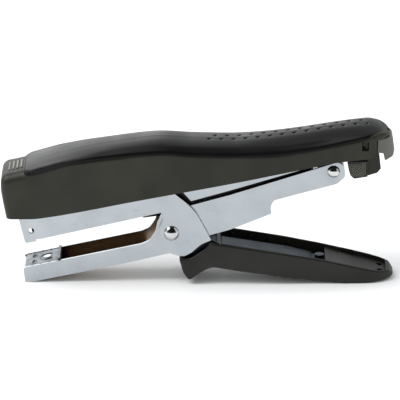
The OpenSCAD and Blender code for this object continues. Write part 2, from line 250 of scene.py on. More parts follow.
def eroded_plastic(name, base, rubbed, smooth, rough, grain_mm=0.45, relief_mm=0.02, shine=0.5):
    """Moulded plastic with an eroded grain and rubbed patches."""
    finish, place = start_finish(name)
    grain = add(finish, "ShaderNodeTexNoise",
                {"Vector": place, "Scale": 1 / (grain_mm * MM), "Detail": 3, "Roughness": 0.55})
    hands = add(finish, "ShaderNodeTexNoise",
                {"Vector": place, "Scale": 1 / (RUBBED_MM * MM), "Detail": 3})
    rubbed_by = add(finish, "ShaderNodeMapRange",
                    {"Value": hands.outputs["Fac"], "From Min": 0.4, "From Max": 0.7})
    speck = add(finish, "ShaderNodeMath",
                {0: grain.outputs["Fac"], 1: 0.5, 2: rubbed_by.outputs["Result"]},
                operation="MULTIPLY_ADD")
    tone = add(finish, "ShaderNodeMapRange",
               {"Value": speck.outputs["Value"], "From Min": 0.1, "From Max": 1.4})
    tint = add(finish, "ShaderNodeMixRGB", {"Fac": tone.outputs["Result"],
                                            "Color1": linear(base), "Color2": linear(rubbed)})
    roughness = add(finish, "ShaderNodeMapRange",
                    {"Value": tone.outputs["Result"], "To Min": rough, "To Max": smooth})
    bump = add(finish, "ShaderNodeBump",
               {"Height": grain.outputs["Fac"], "Distance": relief_mm * MM, "Strength": 0.7})
    return close_finish(finish, {"Base Color": tint.outputs["Color"], "IOR": 1.53,
                                 "Roughness": roughness.outputs["Result"],
                                 "Normal": bump.outputs["Normal"], "Specular IOR Level": shine})


cover_abs = eroded_plastic("cover_abs", "#23231b", "#2c2c23", 0.38, 0.5, shine=0.25)
handle_abs = eroded_plastic("handle_abs", "#191a15", "#22231d", 0.36, 0.5, shine=0.28)
# A lighter copy of the cover's olive plastic: a painted highlight on the pusher knob and the nose
# ribs.
lit_olive_abs = eroded_plastic("pusher_abs_painted_highlight", "#4c4d45", "#5f6056", 0.28, 0.4)
# The knurl's paler colour is a painted highlight on its ridges.
knurl_highlight_abs = eroded_plastic("knurl_painted_highlight_abs", "#77776c", "#8a8a7e", 0.3, 0.42)
grip_tpe = eroded_plastic("overmoulded_tpe", "#060607", "#0b0b0c", 0.3, 0.42, 0.5, 0.015, 0.2)
print("finishes in all:", len(bpy.data.materials))

# %% [markdown]
# ## Floor and cards
# The bench is a white painted board and the two cards are black felt. Both are as dull as
# paint allows and one colour all over, so the colour is set on the shader itself and nothing
# in them draws the eye away from the stapler.

# %% Floor and card finishes
def plain(name, hex_colour, rough):
    """A matt board of one colour."""
    finish, _ = start_finish(name)
    return close_finish(finish, {"Base Color": linear(hex_colour), "Roughness": rough,
                                 "Specular IOR Level": 0.1})


floor.data.materials.append(plain("white_board", "#f6f6f6", 0.9))
black_board = plain("black_board", "#101010", 1.0)
for board in (card, screen):
    board.data.materials.append(black_board)
print("boards painted:", floor.name, card.name, screen.name)

# %% [markdown]
# ## Outlines and solids
# Stamped and moulded parts are mostly an outline with rounded corners, drawn out to a width.
# One helper rounds an outline and one makes the solid. Ready-made blocks would have no
# rounded corners. The big skins change section all the way along, so they are lofted: rings of
# points, joined in order.

# %% Outlines and solids
def rounded(points):
    """An outline in X and Z whose corners [x, z, r] are turned into arcs."""
    outline = []
    for k, corner in enumerate(points):
        here = Vector(corner[:2])
        if len(corner) < 3:
            outline.append(here)
            continue
        before = Vector(points[k - 1][:2]) - here
        after = Vector(points[(k + 1) % len(points)][:2]) - here
        half = before.angle(after) / 2
        reach = min(corner[2] / tan(half), before.length * 0.48, after.length * 0.48)
        inward = (before.normalized() + after.normalized()).normalized()
        centre = here + inward * (reach * tan(half) / sin(half))
        start = here + before.normalized() * reach - centre
        end = here + after.normalized() * reach - centre
        turn = atan2(start.x * end.y - start.y * end.x, start.dot(end))
        steps = max(2, ceil(abs(turn) / radians(10)))
        outline += [centre + Matrix.Rotation(turn * i / steps, 2) @ start for i in range(steps + 1)]
    return outline


def skin(rings, closed):
    """Faces between rings of equal length; closed rings come back to their first point."""
    count = len(rings[0])
    last = count if closed else count - 1
    return [(r * count + k, r * count + (k + 1) % count,
             (r + 1) * count + (k + 1) % count, (r + 1) * count + k)
            for r in range(len(rings) - 1) for k in range(last)]


def new_piece(name, points, faces, finish):
    """A piece from points in millimetres. Its faces are turned to look outwards."""
    mesh = bpy.data.meshes.new(name)
    mesh.from_pydata([Vector(p) * MM for p in points], [], faces)
    form = bmesh.new()
    form.from_mesh(mesh)
    bmesh.ops.remove_doubles(form, verts=form.verts, dist=0.001 * MM)
    bmesh.ops.recalc_face_normals(form, faces=form.faces)
    form.to_mesh(mesh)
    form.free()
    thing = bpy.data.objects.new(name, mesh)
    scene.collection.objects.link(thing)
    mesh.materials.append(finish)
    return thing


def solid(name, outline, near, far, finish=None):
    """The outline in X and Z drawn out along Y from near to far, in millimetres."""
    ring = rounded(outline)
    count = len(ring)
    near_ring, far_ring = [(p.x, near, p.y) for p in ring], [(p.x, far, p.y) for p in ring]
    caps = [tuple(range(count)), tuple(range(2 * count - 1, count - 1, -1))]
    return new_piece(name, near_ring + far_ring, [*caps, *skin([near_ring, far_ring], True)], finish)


print("points on a 2 mm corner:", len(rounded([[0, 0], [9, 0, 2], [9, 9]])) - 2)

# %% [markdown]
# ## Cutters
# Slots and holes are moulded or punched on the real parts. Here they are cut with simple
# cutters once the outer shape is done, which keeps every wall between two cuts true. Building
# the same holes face by face would be long and easy to get wrong.

# %% Cutters
def brick(x0, x1, y0, y1, z0, z1):
    """A plain block, for cutting only."""
    return solid("cutter", [[x0, z0], [x1, z0], [x1, z1], [x0, z1]], y0, y1)


def peg(radius, x, y, z0, z1, sides=24):
    """An upright round peg, for cutting a hole."""
    turns = [2 * pi * k / sides for k in range(sides)]
    rings = [[(x + radius * cos(a), y + radius * sin(a), z) for a in turns] for z in (z0, z1)]
    caps = [tuple(range(sides)), tuple(range(sides, 2 * sides))]
    return new_piece("cutter", rings[0] + rings[1], [*caps, *skin(rings, True)], None)


def cross_hole(centre, radius, reach=12, sides=32):
    """A round cutter that lies across the stapler at centre, given in X and Z."""
    turns = [2 * pi * k / sides for k in range(sides)]
    ring = [[centre[0] + radius * cos(a), centre[1] + radius * sin(a)] for a in turns]
    return solid("cutter", ring, -reach, reach)


def settle(thing):
    """Turns a piece's modifiers into its mesh."""
    bpy.context.view_layer.update()
    graph = bpy.context.evaluated_depsgraph_get()
    finished = bpy.data.meshes.new_from_object(thing.evaluated_get(graph))
    thing.modifiers.clear()
    thing.data = finished


def carve(thing, *cutters, how="DIFFERENCE"):
    """Cuts the cutters out of a piece, or joins them to it."""
    for cutter in cutters:
        step = thing.modifiers.new("carve", "BOOLEAN")
        step.object, step.operation, step.solver = cutter, how, "EXACT"
    settle(thing)
    for cutter in cutters:
        bpy.data.objects.remove(cutter)


MAIN_RIVET, REAR_RIVET = (-13.3, 26.9), (67.2, 59.2)
print("rivets are", round((Vector(REAR_RIVET) - Vector(MAIN_RIVET)).length, 1), "mm apart")

# %% [markdown]
# ## Arris and place
# No moulded or tumbled edge is perfectly sharp: a rounded arris of 0.1 to 0.3 mm catches a thin
# line of light. A bevel on the sharp edges makes it, with normals weighted to the large faces
# so that the flats stay flat. The same helper rides the piece on its CAD body.

# %% Finishing a piece
def round_arris(thing, width_mm, above):
    """A narrow bevel on the edges sharper than this angle, and normals true to the flats."""
    arris = thing.modifiers.new("arris", "BEVEL")
    arris.width, arris.segments = width_mm * MM, 2
    arris.limit_method, arris.angle_limit = "ANGLE", above
    arris.harden_normals = True


def finish_piece(thing, body, replaced, arris_mm):
    """Arris, smooth shading and a place on its CAD body."""
    if arris_mm:
        round_arris(thing, arris_mm, radians(38))
    thing.data.shade_smooth()
    thing.modifiers.new("shade", "WEIGHTED_NORMAL").keep_sharp = True
    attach(thing, body)
    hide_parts(*replaced)
    print(thing.name, "has", len(thing.data.polygons), "faces")


print("CAD nodes to dress or replace:", len(nodes))

# %% [markdown]
# ## Smooth lines
# The mouldings have long flowing edges that were drawn with a spline. A few points give each
# line, and a monotone curve joins them. A common spline would swing past them and put a wave in
# a straight edge.

# %% Smooth lines
def flow(points):
    """A smooth line through the points, without overshoot: its height for any place along it."""
    xs, zs = zip(*points)
    slopes = [(zs[k + 1] - zs[k]) / (xs[k + 1] - xs[k]) for k in range(len(xs) - 1)]
    inner = [0 if a * b <= 0 else 2 * a * b / (a + b) for a, b in zip(slopes, slopes[1:])]
    lean = [slopes[0], *inner, slopes[-1]]

    def height(x):
        x = min(max(x, xs[0]), xs[-1])
        k = max(j for j in range(len(xs) - 1) if xs[j] <= x)
        gap, rise = xs[k + 1] - xs[k], zs[k + 1] - zs[k]
        t = (x - xs[k]) / gap
        return (zs[k] + gap * lean[k] * t * (1 - t) ** 2 + rise * t * t * (3 - 2 * t)
                - gap * lean[k + 1] * t * t * (1 - t))
    return height


print("halfway up a step:", flow([(0, 0), (1, 0), (2, 1), (3, 1)])(1.5))

# %% [markdown]
# ## Lines of the cover
# The cover is one ABS moulding, open below, with a 3 mm edge round its nose. Its long lines are
# the crown, the lower edge, the nose in side view, the half width and the radius of the
# shoulder. The shoulder is round at the nose and nearly sharp where the grip covers it.

# %% Lines of the cover
cover_half = flow([(-98, 14.0), (84, 14.0), (86.5, 13.7), (88.4, 12.8), (90.5, 11.2), (92.5, 9.0),
                   (94, 6.6), (95.3, 3.4)])
cover_corner = flow([(-98, 4.8), (-87, 4.8), (-84.5, 3.2), (-82, 1.6), (-78, 1.0), (-68, 1.2),
                     (-55, 2.0), (-40, 2.6), (84, 2.6), (87, 2.4), (90, 2.2), (93.5, 1.2),
                     (95.3, 0.6)])
nose_edge = flow([(34.5, -95.5), (40, -96.5), (46, -97.5), (51, -98.1), (54, -98.1),
                  (57.5, -97.6), (61, -97.0)])
cover_top = flow([(-98, 57.9), (-94, 58.6), (-86.6, 60.2), (-78, 61.7), (-67, 64.2), (-44, 68.4),
                  (-17.5, 71.2), (-3, 70.5), (16, 70.1), (35, 70.9), (54, 73.0), (70, 75.9),
                  (80, 78.2), (86.7, 79.8), (89, 79.9), (91.3, 79.5), (93.5, 78.6), (95.3, 77.4)])
cover_edge = flow([(-98, 35.4), (-83, 35.5), (-74, 36.6), (-61.5, 38.8), (-33, 44.6), (21, 55.2),
                   (53.5, 62.2), (69, 65.4), (82, 67.0), (85.5, 67.7), (87.4, 69.0), (88.3, 71.2)])
print("cover height at the main rivet:", round(cover_top(-13.3) - cover_edge(-13.3), 1), "mm")

# %% [markdown]
# ## Cover
# An extruded outline would have hard shoulders and a flat nose. A loft of U sections, given a
# 1.7 mm wall with Solidify, keeps the wall even and lets the nose shrink into a rounded front.
# A snap window is cut on each side near the rear, and a tunnel lets the pusher's rod through.

# %% Cover
NOSE, EDGE_R, WALL = -98, 3.0, 1.7
SIDE_STEPS, TURN_STEPS, ROOF_STEPS = 10, 8, 5
ROD_HEIGHT = 11.2  # the guide rod lies this far above the magazine's lower line


def cover_ring(x, inset, scale=1.0, edge=None):
    """The open U section at x: near edge, over the roof, far edge."""
    bottom = cover_edge(x) if edge is None else edge
    half, top = cover_half(x) - inset, cover_top(x) - inset
    corner = max(0.6, cover_corner(x) - inset)
    near = [(-half, bottom + (top - corner - bottom) * k / SIDE_STEPS) for k in range(SIDE_STEPS)]
    turns = [pi * k / (2 * TURN_STEPS) for k in range(TURN_STEPS + 1)]
    turn = [(-half + corner * (1 - cos(a)), top - corner * (1 - sin(a))) for a in turns]
    roof = [(-(half - corner) * (1 - k / ROOF_STEPS), top) for k in range(1, ROOF_STEPS + 1)]
    side = near + turn + roof
    ring = side + [(-y, z) for y, z in reversed(side[:-1])]
    return [(y * scale, bottom + (z - bottom) * scale) for y, z in ring]


cover_rings = []
for scale in (0.02, 0.3, 0.6, 0.85, 1.0):
    cover_rings.append([(nose_edge(z), y, z) for y, z in cover_ring(NOSE, EDGE_R, scale)])
for k in range(1, 8):
    turn = pi / 2 * k / 7
    back, inset = EDGE_R * (1 - cos(turn)), EDGE_R * (1 - sin(turn))
    cover_rings.append([(nose_edge(z) + back, y, z) for y, z in cover_ring(NOSE + back, inset)])
for k in range(1, 11):
    x, lean = NOSE + EDGE_R + k, 1 - k / 10
    cover_rings.append([(x + (nose_edge(z) - NOSE) * lean, y, z) for y, z in cover_ring(x, 0)])
for x in range(-84, 88):
    cover_rings.append([(x, y, z) for y, z in cover_ring(x, 0)])
lip = [(87.9, 70.0), (88.3, 71.4), *[(x, 76.6) for x in (88.4, 89.8, 91.2, 92.4, 93.5, 94.5, 95.3)]]
for x, edge in lip:
    edge = min(edge, cover_top(x) - cover_corner(x) - 0.05)
    cover_rings.append([(x, y, z) for y, z in cover_ring(x, 0, edge=edge)])
cover = new_piece("cover_moulding", [p for ring in cover_rings for p in ring],
                  skin(cover_rings, False), cover_abs)
wall = cover.modifiers.new("wall", "SOLIDIFY")
wall.thickness, wall.offset = WALL * MM, -1
settle(cover)
on_magazine = Matrix.Translation((-86.5, 0, 21.5)) @ Matrix.Rotation(-TILT, 4, "Y")
rod_way = peg(2.9, 0, 0, 168, 196)
rod_way.data.transform(
    Matrix.Scale(MM, 4) @ on_magazine @ Matrix.Translation((0, 0, ROD_HEIGHT))
    @ Matrix.Rotation(radians(90), 4, "Y") @ Matrix.Scale(1 / MM, 4))
snap_window = brick(81, 84.4, -20, 20, 71.6, 76.4)
carve(cover, snap_window, rod_way)
finish_piece(cover, "head", ["upper_cover"], 0.25)

# %% [markdown]
# ## Lines of the grip
# The grip is rubber moulded over the cover in a second shot, so it has no joints or stitches.
# Its lines are the lower edge, the shoulder, the crown and the half width. It stands 0.3 mm
# proud of the cover's side and wraps round the cover's shoulder at its front end.

# %% Lines of the grip
GRIP_FRONT, GRIP_HALF = -86.3, 14.28
grip_edge = flow([(GRIP_FRONT, 58.9), (-84.6, 58.5), (-82.5, 58.5), (-80, 59.1), (-69, 62.4),
                  (-58, 65.6), (-49, 67.1), (-27.5, 68.8), (-16, 69.3), (-3.5, 68.2), (16, 67.8),
                  (35, 68.0), (51, 70.3), (61.5, 72.3), (72.5, 75.3), (79.5, 77.2), (83, 78.0),
                  (86, 78.9), (88.5, 79.4), (90.5, 79.5), (91.6, 79.4)])
grip_shoulder = flow([(GRIP_FRONT, 60.5), (-78, 63.0), (-67, 66.0), (-44, 70.3), (-17.5, 73.1),
                      (-3, 72.4), (16, 72.0), (35, 72.8), (54, 75.0), (70, 77.6), (82, 79.6),
                      (86, 80.2), (89, 80.3), (91.6, 79.8)])
grip_back = flow([(GRIP_FRONT, 60.7), (-78, 63.7), (-69, 66.4), (-48, 71.2), (-30, 74.1),
                  (-18.5, 75.2), (-3.5, 74.3), (16, 74.0), (28.5, 75.0), (47.5, 77.5), (67, 80.7),
                  (80, 82.2), (84, 82.3), (88, 81.5), (91.6, 80.0)])
grip_half = flow([(GRIP_FRONT, 12.9), (-84.6, 13.95), (-82.5, GRIP_HALF), (80, GRIP_HALF),
                  (83, 14.0), (86, 12.7), (88.5, 10.3), (90.5, 7.2), (91.6, 4.0)])
print("crown above the grip's edge at x = 0:", round(grip_back(0) - grip_edge(0), 1), "mm")

# %% [markdown]
# ## Section of the grip
# A cut across the grip shows a steep side, a soft shoulder and a crowned back, over a skin of
# about 1.5 mm. Rows of round dimples behind the palm, 6 mm apart, stop the hand from sliding.
# They are pressed into the loft's own points, which keeps them round from every side. Cutting
# them with balls would leave ragged edges.

# %% Section of the grip
DIMPLE_ROWS = [(-2.6, 0.0), (2.6, 3.0)]  # each row's Y, and how far it is shifted along
DIMPLE_PITCH, DIMPLE_R, DIMPLE_DEPTH = 6.05, 1.15, 0.7
DIMPLE_START, DIMPLES_FROM, DIMPLES_TO = 5.5, 3, 84.5
GRIP_SKIN, GRIP_WALL = 1.5, 1.0


def through(points, steps):
    """Catmull-Rom points through a short list, so many steps for each span."""
    ends = [points[0] * 2 - points[1], *points, points[-1] * 2 - points[-2]]
    smooth = []
    for k, count in enumerate(steps):
        a, b, c, d = ends[k:k + 4]
        for i in range(count):
            t = i / count
            smooth.append(0.5 * (2 * b + (c - a) * t + (2 * a - 5 * b + 4 * c - d) * t * t
                                 + (3 * b - a - 3 * c + d) * t ** 3))
    return smooth + [points[-1]]


def dimpled(x, y, z):
    """The height z, pressed in where a dimple lies."""
    for row, shift in DIMPLE_ROWS:
        along = (x - DIMPLE_START - shift) % DIMPLE_PITCH
        along = min(along, DIMPLE_PITCH - along)
        away = sqrt(along ** 2 + (y - row) ** 2)
        if DIMPLES_FROM < x < DIMPLES_TO and away < DIMPLE_R:
            z -= DIMPLE_DEPTH * cos(away / DIMPLE_R * pi / 2) ** 1.3
    return z


def over_cover(x, y):
    """The cover's outside at this place, plus rubber that is thin at the grip's front end."""
    bend = cover_corner(x)
    reach = min(bend, max(0, abs(y) - (cover_half(x) - bend)))
    rubber = 0.35 + max(0, x - GRIP_FRONT) * 0.4
    return cover_top(x) - bend + sqrt(bend ** 2 - reach ** 2) + rubber


def grip_ring(x):
    """The closed grip section at x: out over the back, then home along the cover."""
    half, low, crease, top = grip_half(x), grip_edge(x), grip_shoulder(x), grip_back(x)
    drop = min(1.0, max(0.15, (crease - low) / 4)) * min(1.0, max(0.3, (x + 78) / 30))
    knots = [(half, low), (half - 0.45 * drop, low + (crease - low) * 0.46),
             (half - 1.7 * drop, crease - 0.8 * drop), (half * 0.74, crease + (top - crease) * 0.3),
             (half * 0.4, crease + (top - crease) * 0.8), (0, top)]
    side = through([Vector(p) for p in knots], (4, 4, 6, 12, 14))
    outer = []
    for y, z in [(-p.x, p.y) for p in side] + [(p.x, p.y) for p in reversed(side[:-1])]:
        z = dimpled(x, y, z)
        outer.append((x, y, max(min(z, over_cover(x, y)), min(z, low))))
    inner = [(x, y * (half - GRIP_WALL) / half, max(low + 0.02, z - GRIP_SKIN))
             for _, y, z in reversed(outer)]
    return outer + inner


print("points round the grip:", len(grip_ring(0)))

# %% [markdown]
# ## Soft grip
# The loft's rings stand 1.1 mm apart over the smooth front and 0.5 mm apart where the dimples
# are. Even rings would either lose the dimples or waste faces. Flat caps close both ends.

# %% Soft grip
stations = [GRIP_FRONT + k * 1.1 for k in range(81)] + [2.5 + k * 0.5 for k in range(1, 179)]
grip_rings = [grip_ring(x) for x in stations]
count = len(grip_rings[0])
caps = [(first + k, first + k + 1, first + count - 2 - k, first + count - 1 - k)
        for first in (0, (len(grip_rings) - 1) * count) for k in range(count // 2 - 1)]
grip = new_piece("grip_sleeve", [p for ring in grip_rings for p in ring],
                 skin(grip_rings, True) + caps, grip_tpe)
finish_piece(grip, "head", ["soft_grip"], 0)

# %% [markdown]
# ## Rolled edges and narrowed ends
# The handle's outer edges are rolled over generously, and its tail is rounded when seen from
# above. A bevel on chosen edges makes the first. For the second a piece is sliced into short
# lengths and its width is drawn in. A loft would do both, but would lose the crisp outline.

# %% Rolled edges and narrowed ends
def on_side(place, half_width):
    """Whether a point lies on one of the two flat sides."""
    return abs(abs(place.y) - half_width) < 0.01


def roll_edges(thing, width_mm, chosen, steps=3):
    """Rounds the edges whose middle, in millimetres, is chosen."""
    form = bmesh.new()
    form.from_mesh(thing.data)
    sharp = [e for e in form.edges if len(e.link_faces) == 2 and e.calc_face_angle() > radians(40)]
    edges = [e for e in sharp if chosen((e.verts[0].co + e.verts[1].co) / 2 / MM)]
    bmesh.ops.bevel(form, geom=edges, offset=width_mm * MM, segments=steps, profile=0.5,
                    affect="EDGES", clamp_overlap=True)
    form.to_mesh(thing.data)
    form.free()
    print(thing.name, "has", len(edges), "edges rolled")


def narrow(thing, half, full, cuts):
    """Slices a piece at each X in cuts, then draws its width in to half(x)."""
    form = bmesh.new()
    form.from_mesh(thing.data)
    for x in cuts:
        bmesh.ops.bisect_plane(form, geom=[*form.verts, *form.edges, *form.faces],
                               plane_co=(x * MM, 0, 0), plane_no=(1, 0, 0), dist=1e-7)
    for vertex in form.verts:
        vertex.co.y *= half(vertex.co.x / MM) / full
    form.to_mesh(thing.data)
    form.free()
    print(thing.name, "is narrowed at", len(cuts), "places")


print("grip half width:", GRIP_HALF, "mm")

# %% [markdown]
# ## Lower handle
# The handle is a moulded trough: smooth rolled edges outside, thin walls with small stiffening
# ribs inside, a raised floor behind the post and two lanyard holes in the tail. It starts as a
# solid whose outer edges are rolled over, and the trough is carved out afterwards, so that the
# wall keeps an even rim.

# %% Lower handle
HANDLE_HALF, TROUGH_HALF = 13.5, 11.9
handle_outline = [
    [-9.8, 14.4, 1], [-7.4, 6, 4], [-4.6, 2, 1.6], [1, 6.2, 6], [6.4, 9.4, 8], [19.3, 7.2, 10],
    [44.3, 3.5, 60], [74, 0], [84, 0], [97.4, 1.4, 1.5], [98.3, 2.6, 1.2], [96.2, 5.2, 3],
    [88.5, 6.6, 10], [77.7, 9.2, 20], [61, 13, 40], [44.3, 16.1, 60], [19.3, 20.2, 40],
    [9, 21.6, 4], [6.2, 22.6, 1], [3.9, 19.3, 6], [-4.6, 13.3, 6]]
handle = solid("handle_moulding", handle_outline, -HANDLE_HALF, HANDLE_HALF, handle_abs)
roll_edges(handle, 1.0, lambda p: on_side(p, HANDLE_HALF))
trough = solid("cutter", [
    [-12, 16], [-7.4, 11.5, 2], [-4, 5.2, 2], [1, 8.2, 6], [6.4, 11.4, 8], [19.3, 9.2, 20],
    [44.3, 5.4, 40], [63.6, 3.2], [64, 30], [-12, 30]], -TROUGH_HALF, TROUGH_HALF)
tail_floor = solid("cutter", [[63.4, 11.2], [77.7, 7.2, 20], [88, 4.9], [94.4, 3.7], [94.4, 12],
                              [60, 30]], -TROUGH_HALF, TROUGH_HALF)
notch = brick(72.3, 78.4, 10, 12.8, 5.9, 12)
carve(handle, trough, tail_floor, notch)

# %% [markdown]
# ## Ribs, tail and lanyard holes
# Four small ribs stand on each wall, just below the rim, and stiffen it against the squeeze.
# They are joined before the tail is narrowed, so that they follow the wall. The lanyard holes
# come last, because narrowing would make them oval.

# %% Ribs, tail and lanyard holes
RIB_PLACES, RIB_HALF = (17.4, 26.9, 36.2, 45.6), 0.6
RIB_IN, RIB_OUT = 10.4, 12.6
rim = flow([(9, 21.6), (19.3, 20.2), (44.3, 16.1), (61, 13)])
for x in RIB_PLACES:
    left, right = x - RIB_HALF, x + RIB_HALF
    rib_outline = [[left, rim(x) - 9], [right, rim(x) - 9.1], [right, rim(x) - 1.9],
                   [left, rim(x) - 1.8]]
    for y0, y1 in ((-RIB_OUT, -RIB_IN), (RIB_IN, RIB_OUT)):
        carve(handle, solid("rib", rib_outline, y0, y1), how="UNION")
handle_half = flow([(-10, 13.5), (36, 13.4), (61, 12.3), (78, 12.0), (86, 11.6), (90, 10.7),
                    (93, 9.2), (95.5, 7.2), (97.3, 4.8), (98.3, 2.6)])
narrow(handle, handle_half, HANDLE_HALF, [
    40, 50, 61, 70, 78, 82, 85, 87, 89, 90.5, 92, 93.2, 94.3, 95.3, 96.1, 96.8, 97.4, 97.9])
carve(handle, peg(1.5, 91.4, 3.7, -2, 10), peg(1.5, 91.4, -3.7, -2, 10))
finish_piece(handle, "handle", ["handle_shell"], 0.22)

# %% [markdown]
# ## Lever inside the handle
# A zinc-plated bar lies in the trough and grows two ears that turn on the main rivet. The bar
# is narrower than the ears, so both are made as solids and joined, and the bar's long edges are
# rolled because it is bent from thick strip.

# %% Lever
EAR_HALF, EAR_GAP, BAR_HALF = 8.3, 7.3, 5.4
RIVET_BORE = 3.05
ears = solid("ears", [
    [-20.5, 27, 6], [-18, 18.6, 5], [-8, 15.8, 3], [2, 12.4, 6], [12, 10.8], [12, 19.5, 2],
    [-5, 28, 5], [-11, 35.6, 6], [-18, 34.4, 6]], -EAR_HALF, EAR_HALF)
carve(ears, solid("cutter", [[-30, 45], [-30, 0], [14, 0], [14, 18.4], [10, 19], [2, 45]],
                  -EAR_GAP, EAR_GAP))
lever = solid("lever_bar", [
    [4, 13.2], [19.3, 9.6], [44.3, 6.0], [57, 4.6, 1], [59.3, 8.6, 2], [56.6, 10.6, 2],
    [44.3, 13.7, 40], [27.5, 16.4, 20], [12, 18.9, 2], [4, 20.5]], -BAR_HALF, BAR_HALF, zinc)
roll_edges(lever, 1.0, lambda p: on_side(p, BAR_HALF) and p.z > 8)
tab = solid("tab", [[56, 9.4], [63.2, 9.4, 0.4], [63.2, 10.3, 0.4], [56, 10.3]], -2.9, 2.9)
carve(lever, ears, tab, how="UNION")
drive_pin, post_screw = cross_hole((-8.8, 20.2), 1.25), peg(1.52, 61, 0, 0, 20)
carve(lever, cross_hole(MAIN_RIVET, RIVET_BORE), drive_pin, post_screw)
finish_piece(lever, "handle", ["handle_lever"], 0.15)

# %% [markdown]
# ## Head frame
# The inner frame of the head shows as a bright strip between cover and links. It is a folded
# channel, like the jaw, and its lower edge runs a constant 1.5 mm above the links. Bending a
# flat sheet would need each fold worked out, so it is carved from a solid with its roof's long
# edges rolled.

# %% Head frame
HEAD_HALF, HEAD_GAP = 8.3, 7.3


def on_roof(place):
    """Whether an edge's middle lies along the head frame's roof."""
    return -88 < place.x < 73 and place.z > 50 and place.z > 66 - 0.19 * abs(place.x - 36)


head = solid("head_channel", [
    [-90.4, 52.3, 1], [-20, 65.6, 20], [36, 67.2, 40], [74.6, 75.2, 1], [74.6, 67.6],
    [72.4, 64.6, 2], [71.6, 56, 4], [66, 53.8, 4], [61.6, 59.6, 4], [58.0, 61.7, 1], [16, 48.7],
    [-3.5, 43.0], [-7.9, 48, 0.5], [-60, 43], [-87.2, 40]], -HEAD_HALF, HEAD_HALF, nickel)
roll_edges(head, 0.9, lambda p: on_side(p, HEAD_HALF) and on_roof(p))
hollow = solid("cutter", [[-94, 50.4], [-20, 64.4, 20], [36, 66, 40], [78, 74.8], [78, 30],
                          [-94, 30]], -HEAD_GAP, HEAD_GAP)
carve(head, hollow, cross_hole(REAR_RIVET, 2.25))
finish_piece(head, "head", ["head_frame"], 0.14)

# %% [markdown]
# ## Jaw
# The jaw arm is one strip folded into a channel, so its two lower edges are bends of about
# 1.2 mm outside while its upper edges are sheared and nearly sharp. Only the bends are rolled.
# The trough and the seat for the anvil are carved out, and the rivet's bore is cut last.

# %% Jaw arm
JAW_HALF, JAW_GAP = 9.8, 8.6
jaw_outline = [
    [-86.9, 0], [-84, 0], [-34, 10.8], [-17.5, 14.9], [-13.3, 15.7, 8], [-4, 17.4, 8],
    [-1.9, 27, 8], [-5, 35.6, 8], [-13.3, 38.3, 8], [-17.9, 37.4, 2], [-20.2, 32.6, 6],
    [-21.5, 27, 6], [-24.4, 22.5, 5], [-28.4, 20.6, 8], [-85.9, 8.1], [-87.7, 7.4, 0.6]]
jaw = solid("folded_jaw", jaw_outline, -JAW_HALF, JAW_HALF, jaw_nickel)
fold_line = flow([(-87, 0.4), (-84, 0.6), (-34, 11.4), (-17.5, 15.6), (-14, 16.2)])
roll_edges(jaw, 1.2, lambda p: on_side(p, JAW_HALF) and p.x < -14 and p.z < fold_line(p.x), 4)
channel = solid("cutter", [[-84.8, 7], [-84.8, 1.6, 1], [-34, 12.3], [-26, 14.2], [-26, 8], [0, 8],
                           [4, 40], [-30, 40], [-84.8, 20]], -JAW_GAP, JAW_GAP)
seat = solid("cutter", [[-90, 7.0], [-84.6, 7.0], [-84.6, 12], [-90, 12]], -JAW_GAP, JAW_GAP)
carve(jaw, channel, seat)
carve(jaw, cross_hole(MAIN_RIVET, RIVET_BORE))
finish_piece(jaw, "jaw", ["jaw_arm"], 0.14)

# %% [markdown]
# ## Anvil
# The anvil is a ground plate with two curved pockets, one for each staple leg, which steer the
# legs inwards. Behind them a stamped ring surrounds the rivet, small ears are staked over the
# channel's edges, and the rear end is bent up as a stop. The pockets are scooped with
# ellipsoids, because that is the shape that a ball cutter leaves.

# %% Anvil
RING_X, RING_R, BEAD_R = 9, 3.7, 0.42
RING_STEPS, BEAD_SIDES = 24, 10
EAR_PLACES, EAR_Y = (1.6, 6.0, 10.4, 14.2), 8.7
on_jaw = Matrix.Translation(Vector((-84.7, 0, 8)) * MM) @ Matrix.Rotation(radians(-12.4), 4, "Y")


def scoop(x, y, z, a, b, c, sides=20):
    """An ellipsoid of half-sizes a, b, c, for scooping."""
    turns = [2 * pi * k / sides for k in range(sides)]
    rings = []
    for i in range(sides // 2 + 1):
        tip = pi * i / (sides // 2)
        rings.append([(x + a * sin(tip) * cos(turn), y + b * sin(tip) * sin(turn), z + c * cos(tip))
                      for turn in turns])
    return new_piece("cutter", [p for ring in rings for p in ring], skin(rings, True), None)


anvil = solid("anvil_top", [
    [-2.2, -0.5, 0.3], [-0.2, -0.5], [0, -1.2], [16.2, -1.2], [16.2, 1.5, 0.3], [14.9, 1.6, 0.3],
    [14.6, 0.1, 0.4], [-2.2, 0.1, 0.3]], -8.5, 8.5, anvil_steel)
carve(anvil, *[scoop(2.5, y, 0.2, 1.25, 2.9, 0.85) for y in (3.6, -3.6)])
ring_rings = []
for i in range(RING_STEPS + 1):
    turn = radians(50 + 260 * i / RING_STEPS)
    beads = [2 * pi * k / BEAD_SIDES for k in range(BEAD_SIDES)]
    reaches = [(RING_R + BEAD_R * cos(bead), BEAD_R * sin(bead)) for bead in beads]
    ring_rings.append([(RING_X + reach * cos(turn), reach * sin(turn), z) for reach, z in reaches])
last = RING_STEPS * BEAD_SIDES
ring_ends = [tuple(range(BEAD_SIDES)), tuple(range(last + BEAD_SIDES - 1, last - 1, -1))]
carve(anvil, new_piece("ring", [p for ring in ring_rings for p in ring],
                       skin(ring_rings, True) + ring_ends, None), how="UNION")
carve(anvil, peg(2.05, RING_X, 0, -3, 3))
for x in EAR_PLACES:
    for side in (-1, 1):
        carve(anvil, scoop(x, side * EAR_Y, 0.0, 1.1, 0.75, 0.45, 12), how="UNION")
anvil.data.transform(on_jaw)
finish_piece(anvil, "jaw", ["anvil_plate"], 0.12)

# %% [markdown]
# ## Pusher knob
# The knob closes the rear of the cover, so its edges are rounded in plan as the cover's are. A
# hooked lip gives the finger something to pull. The cap is an outline drawn in towards its end,
# and a plain core below it reaches forward to hold the guide rod.

